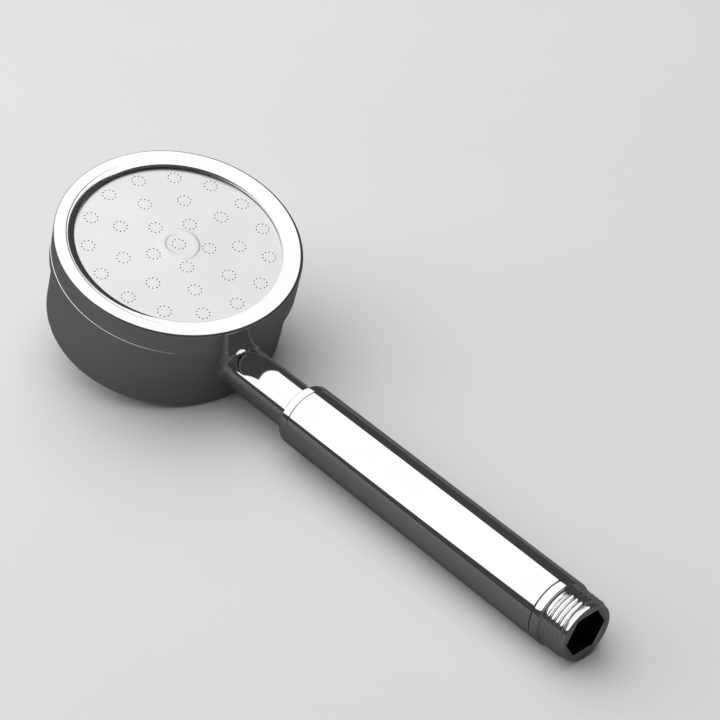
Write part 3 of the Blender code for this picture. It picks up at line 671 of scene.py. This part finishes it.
def add_neck(cup, cup_radius, spigot_end):
    spigot_radius = Reach("water_pipe", HANDLE).outer
    neck_radius = spigot_radius + NECK_STEP
    neck_end = Reach("collar_bush", HANDLE).start + NECK_OVERLAP
    grooves = [seal_groove(name) for name in ("neck_o_ring_upper", "neck_o_ring_lower")]
    neck = make_neck(cup_radius, neck_radius, spigot_radius, neck_end, spigot_end, grooves)
    return boolean(cup, "UNION", placed(neck, HEAD.inverted() @ HANDLE))


def add_screw_post(cup, index, floor):
    """A post on the cup's floor for one of the distributor's screws, with its hole."""
    disc_start = Reach("distributor_disc", HEAD).start
    low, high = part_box(f"distributor_screw_{index}")
    centre = HEAD.inverted() @ ((low + high) / 2)
    place = (centre.x, centre.y)
    post = prism("post", POST_RADIUS, floor - CUP_FLOOR / 2, disc_start - CLEARANCE, SMALL_STEPS, place)
    cup = boolean(cup, "UNION", post)
    hole_start = Reach(f"distributor_screw_{index}", HEAD).start - CUT_MARGIN
    hole_end = disc_start + CUT_MARGIN
    hole = prism("hole", SCREW_HOLE_RADIUS, hole_start, hole_end, SMALL_STEPS, place)
    return boolean(cup, "DIFFERENCE", hole)


def make_head_shell():
    ring = Reach("face_ring", HEAD)
    gasket = Reach("plate_gasket", HEAD)
    spigot_end = Reach("head_shell", HANDLE).end
    cup_radius = ring.outer - CUP_STEP
    rim = gasket.start - CLEARANCE
    cup = cup_blank(cup_radius, ring.outer - RING_BORE_WALL - CLEARANCE, rim)
    cup = add_neck(cup, cup_radius, spigot_end)

    inner = gasket.inner
    floor = Reach("head_shell", HEAD).start + CUP_FLOOR
    top = rim + CUT_MARGIN
    hollow = rounded([(0, floor, 0), (inner, floor, CUP_FLOOR_ROUND), (inner, top, 0), (0, top, 0)])
    cup = boolean(cup, "DIFFERENCE", lathe("hollow", hollow, HEAD_STEPS))
    for index in (1, 2, 3):
        cup = add_screw_post(cup, index, floor)
    way = prism("way", NECK_BORE_RADIUS, NECK_BORE_START, spigot_end + CUT_MARGIN, SMALL_STEPS)
    cup = boolean(cup, "DIFFERENCE", placed(way, HEAD.inverted() @ HANDLE))
    piece("head_shell_fine", cup, HEAD, CHROME, "head", "head_shell")


# ---------------------------------------------------------------- handle

def make_handle_tube():
    cad = Reach("handle_tube", HANDLE)
    inner = cad.outer - TUBE_WALL
    outline = rounded([(inner, cad.start, FINE_EDGE), (cad.outer, cad.start, EDGE_ROUND),
                       (cad.outer, cad.end, EDGE_ROUND), (inner, cad.end, FINE_EDGE)])
    mesh = lathe("handle_tube_fine", outline, HANDLE_STEPS)
    piece("handle_tube_fine", mesh, HANDLE, CHROME, "head", "handle_tube")


def make_collar():
    cad = Reach("collar_bush", HANDLE)
    tube = Reach("handle_tube", HANDLE)
    body = tube.outer - TUBE_WALL - CLEARANCE
    pipe = Reach("water_pipe", HANDLE)
    inner = pipe.outer + CLEARANCE
    neck = pipe.outer + NECK_STEP + CLEARANCE
    collar_end = tube.start - COLLAR_GAP
    lip_start = Reach("head_shell", HANDLE).end + CLEARANCE
    lip_end = lip_start + STOP_LIP_WIDTH
    seat = cad.start + COLLAR_RECESS
    outline = rounded([
        (neck, cad.start, FINE_EDGE),
        (cad.outer - COLLAR_CHAMFER, cad.start, COLLAR_FACE_ROUND),
        (cad.outer, cad.start + COLLAR_CHAMFER, COLLAR_CHAMFER_ROUND),
        (cad.outer, collar_end, EDGE_ROUND),
        (body, collar_end, FINE_EDGE),
        *groove_corners(body, *seal_groove("collar_o_ring")),
        (body, cad.end, FINE_EDGE),
        (inner, cad.end, FINE_EDGE),
        (inner, lip_end, FINE_EDGE),
        (cad.inner, lip_end, FINE_EDGE),
        (cad.inner, lip_start, FINE_EDGE),
        (inner, lip_start, FINE_EDGE),
        (inner, seat, FINE_EDGE),
        (neck, seat, FINE_EDGE),
    ])
    mesh = lathe("collar_bush_fine", outline, HANDLE_STEPS)
    piece("collar_bush_fine", mesh, HANDLE, CHROME, "head", "collar_bush")


def make_water_pipe():
    cad = Reach("water_pipe", HANDLE)
    corners = [(cad.inner, cad.start, FINE_EDGE), (cad.outer, cad.start, PIPE_ROUND)]
    for name in ("pipe_o_ring_upper", "pipe_o_ring_lower"):
        corners += groove_corners(cad.outer, *seal_groove(name))
    corners += [(cad.outer, cad.end, PIPE_ROUND), (cad.inner, cad.end, FINE_EDGE)]
    mesh = lathe("water_pipe_fine", rounded(corners), HANDLE_STEPS)
    piece("water_pipe_fine", mesh, HANDLE, PLASTIC, "head", "water_pipe")


def inlet_blank(cad, body, root, hose_thread, inner_thread):
    """The fitting before its threads are wound and its socket is cut."""
    bore = Reach("water_pipe", HANDLE).outer + CLEARANCE
    low, high, floor = seal_groove("inlet_o_ring")
    flange_start = Reach("handle_tube", HANDLE).end + CLEARANCE
    flange_end = flange_start + FLANGE_WIDTH
    lip_end = Reach("flow_restrictor", HANDLE).start - CLEARANCE
    lip_start = lip_end - STOP_LIP_WIDTH
    hidden = bore - CLEARANCE         # within the hexagon, which is cut wider
    hidden_end = cad.end - HEX_DEPTH + CUT_MARGIN
    corners = [(bore, cad.start, FINE_EDGE), (body, cad.start, BODY_ROUND)]
    corners += rows_between(body, *inner_thread, INLET_THREAD_PITCH)
    corners += groove_corners(body, low, high, floor)
    corners += [
        (body, flange_start, FINE_EDGE),
        (cad.outer, flange_start, FLANGE_ROUND),
        (cad.outer, flange_end, FLANGE_FRONT_ROUND),
        (root + RELIEF_STEP, flange_end, RELIEF_ROUND),
        (root, flange_end + RELIEF_RUN, 0),
    ]
    corners += rows_between(root, *hose_thread, HOSE_THREAD_PITCH)
    corners += [
        (END_BAND_RADIUS, hose_thread[1] + END_BAND_GAP, END_BAND_ROUND),
        (END_BAND_RADIUS, cad.end, END_FACE_ROUND),
        (hidden, cad.end, 0),
        (hidden, hidden_end, 0),
        (bore, hidden_end, 0),
        (bore, lip_end, FINE_EDGE),
        (cad.inner, lip_end, FINE_EDGE),
        (cad.inner, lip_start, FINE_EDGE),
        (bore, lip_start, FINE_EDGE),
    ]
    return lathe("inlet_fitting_fine", rounded(corners), HANDLE_STEPS)


def cut_socket(mesh, end):
    """Cuts the hexagon socket, with a narrow bevel round its mouth."""
    turn = math.pi / 2
    hexagon = prism("hexagon", HEX_CORNER_RADIUS, end - HEX_DEPTH, end + CUT_MARGIN, HEX_SIDES, turn=turn)
    mesh = boolean(mesh, "DIFFERENCE", hexagon)
    mouth = 2 * HEX_CHAMFER
    bevel = prism("bevel", HEX_CORNER_RADIUS - HEX_CHAMFER, end - mouth, end + HEX_CHAMFER, HEX_SIDES,
                  turn=turn, flare=mouth + HEX_CHAMFER)
    return boolean(mesh, "DIFFERENCE", bevel)


def make_inlet():
    cad = Reach("inlet_fitting", HANDLE)
    tube = Reach("handle_tube", HANDLE)
    body = tube.outer - TUBE_WALL - CLEARANCE
    root = HOSE_THREAD_CREST - HOSE_THREAD_DEPTH
    thread_start = tube.end + CLEARANCE + FLANGE_WIDTH + RELIEF_WIDTH
    hose_thread = (thread_start - HOSE_THREAD_RUN_IN, thread_start + HOSE_THREAD_LENGTH)
    groove_low = seal_groove("inlet_o_ring")[0]
    inner_thread = (cad.start + INLET_THREAD_MARGIN, groove_low - INLET_THREAD_MARGIN)
    mesh = inlet_blank(cad, body, root, hose_thread, inner_thread)
    wind(mesh, root, HOSE_THREAD_CREST, *hose_thread, HOSE_THREAD_PITCH, HOSE_THREAD_LEAD)
    wind(mesh, body - INLET_THREAD_DEPTH, body, *inner_thread, INLET_THREAD_PITCH, INLET_THREAD_LEAD)
    mesh = cut_socket(mesh, cad.end)
    made = piece("inlet_fitting_fine", mesh, HANDLE, CHROME, "inlet", "inlet_fitting")
    # the faces inside the hexagon socket and the bore take the brass with painted shade, darkened for the
    # shade that falls there
    made.data.materials.append(BRASS_WITH_PAINTED_SHADE)
    to_handle = HANDLE.inverted()
    for face in made.data.polygons:
        middle = to_handle @ face.center
        if math.hypot(middle.x, middle.y) < HEX_CORNER_RADIUS and middle.z < cad.end - HEX_CHAMFER:
            face.material_index = 1


def make_cartridge():
    cad = Reach("flow_restrictor", HANDLE)
    recess = cad.end - CARTRIDGE_RECESS
    wide = Reach("water_pipe", HANDLE).inner
    outline = rounded([
        (cad.inner, cad.start, FINE_EDGE),
        (cad.outer, cad.start, CARTRIDGE_ROUND),
        *groove_corners(cad.outer, *seal_groove("restrictor_o_ring")),
        (cad.outer, cad.end, CARTRIDGE_ROUND),
        (wide, cad.end, FINE_EDGE),
        (wide, recess, FINE_EDGE),
        (cad.inner, recess, FINE_EDGE),
    ])
    mesh = lathe("flow_restrictor_fine", outline, HANDLE_STEPS)
    piece("flow_restrictor_fine", mesh, HANDLE, PLASTIC, "cartridge", "flow_restrictor")
    rim = Reach("filter_frame", HANDLE)
    inner = rim.outer - FILTER_RIM
    outline = rounded([(inner, rim.start, FINE_EDGE), (rim.outer, rim.start, CARTRIDGE_ROUND),
                       (rim.outer, rim.end, CARTRIDGE_ROUND), (inner, rim.end, FINE_EDGE)])
    mesh = lathe("filter_frame_fine", outline, HANDLE_STEPS)
    piece("filter_frame_fine", mesh, HANDLE, PLASTIC, "cartridge", "filter_frame")


def make_seals():
    bodies = {"inlet_o_ring": "inlet_seal", "restrictor_o_ring": "cartridge"}
    for node in sorted(frame["nodes"]):
        if "o_ring" not in node:
            continue
        cad = Reach(node, HANDLE)
        middle = (cad.start + cad.end) / 2
        section = (cad.outer - cad.inner) / 2
        centre = (cad.outer + cad.inner) / 2
        outline = []
        for k in range(SEAL_STEPS):
            angle = 2 * math.pi * k / SEAL_STEPS
            outline.append((centre + section * math.cos(angle), middle + section * math.sin(angle)))
        mesh = lathe(f"{node}_fine", outline, HANDLE_STEPS)
        piece(f"{node}_fine", mesh, HANDLE, RUBBER, bodies.get(node, "head"), node)


def finish_kept(node, material):
    """Gives a CAD node that stays in the model its material."""
    materials = frame["nodes"][node].data.materials
    materials.clear()
    materials.append(material)


make_face_ring()
make_spray_plate()
make_gasket()
make_head_shell()
make_handle_tube()
make_collar()
make_water_pipe()
make_inlet()
make_cartridge()
make_seals()
finish_kept("distributor_disc", PLASTIC)
for kept in ("filter_screen", "distributor_screw_1", "distributor_screw_2", "distributor_screw_3"):
    finish_kept(kept, STEEL)


# ---------------------------------------------------------------- floor, light and camera

def add_ground(name, height, colour):
    bpy.ops.mesh.primitive_plane_add(size=GROUND_SIZE, location=(0, 0, height))
    ground = bpy.context.object
    ground.name = name
    material, tree, shader = new_material(name, colour, metallic=0.0, roughness=0.8)
    shader.inputs["Specular IOR Level"].default_value = 0.2
    darker = tuple(FLOOR_MOTTLE * value for value in colour)
    vary_colour(tree, shader, add_noise(tree, 8, 3), darker, colour)
    ground.data.materials.append(material)
    return ground


def make_floor():
    """A pale floor, and a dark one under it that only shows in the polished metal."""
    floor = add_ground("pale_floor", 0.0, PALE_FLOOR_COLOUR)
    floor.visible_glossy = False
    floor.visible_shadow = False
    dark = add_ground("dark_floor", DARK_FLOOR_HEIGHT, DARK_FLOOR_COLOUR)
    dark.visible_camera = False
    dark.visible_diffuse = False


def make_backdrop():
    """A pale wall all round, far off, which lights nothing."""
    bpy.ops.mesh.primitive_uv_sphere_add(segments=64, ring_count=32, radius=BACKDROP_RADIUS)
    wall = bpy.context.object
    wall.name = "backdrop"
    wall.visible_diffuse = False
    wall.visible_glossy = False
    wall.visible_shadow = False
    material = bpy.data.materials.new("backdrop_paper")
    material.use_nodes = True
    shader = material.node_tree.nodes["Principled BSDF"]
    shader.inputs["Base Color"].default_value = (0.0, 0.0, 0.0, 1.0)
    shader.inputs["Emission Color"].default_value = STUDIO_WHITE
    shader.inputs["Emission Strength"].default_value = BACKDROP_LIGHT
    wall.data.materials.append(material)


def make_world():
    world = bpy.data.worlds.new("studio")
    world.use_nodes = True
    room = world.node_tree.nodes["Background"]
    room.inputs["Color"].default_value = STUDIO_WHITE
    room.inputs["Strength"].default_value = ROOM_LIGHT
    bpy.context.scene.world = world


def make_fill():
    """Soft even light on the floor, which doesn't show in the polished metal."""
    data = bpy.data.lights.new("fill", "SUN")
    data.energy = FILL_POWER
    data.angle = FILL_ANGLE
    light = bpy.data.objects.new("fill", data)
    light.rotation_euler = FILL_TILT
    light.visible_glossy = False
    bpy.context.scene.collection.objects.link(light)


def make_softbox():
    """One large round softbox, high on the side away from the handle."""
    data = bpy.data.lights.new("softbox", "AREA")
    data.shape = "DISK"
    data.size = SOFTBOX_SIZE
    data.energy = SOFTBOX_POWER
    light = bpy.data.objects.new("softbox", data)
    away = Vector(SOFTBOX_SIDE).normalized()
    light.location = away * SOFTBOX_DISTANCE
    light.rotation_euler = (-away).to_track_quat("-Z", "Y").to_euler()
    light.visible_camera = False
    bpy.context.scene.collection.objects.link(light)


def make_camera():
    data = bpy.data.cameras.new("camera")
    data.sensor_width = CAMERA_SENSOR
    data.lens = CAMERA_LENS
    data.clip_start = CAMERA_NEAR
    camera = bpy.data.objects.new("camera", data)
    camera.location = CAMERA_PLACE
    look = (Vector(CAMERA_TARGET) - Vector(CAMERA_PLACE)).to_track_quat("-Z", "Y")
    camera.rotation_euler = (look.to_matrix() @ Matrix.Rotation(CAMERA_ROLL, 3, "Z")).to_euler()
    bpy.context.scene.collection.objects.link(camera)
    bpy.context.scene.camera = camera


make_floor()
make_backdrop()
make_world()
make_fill()
make_softbox()
make_camera()
bpy.context.scene.view_settings.view_transform = "Standard"
bpy.context.view_layer.update()
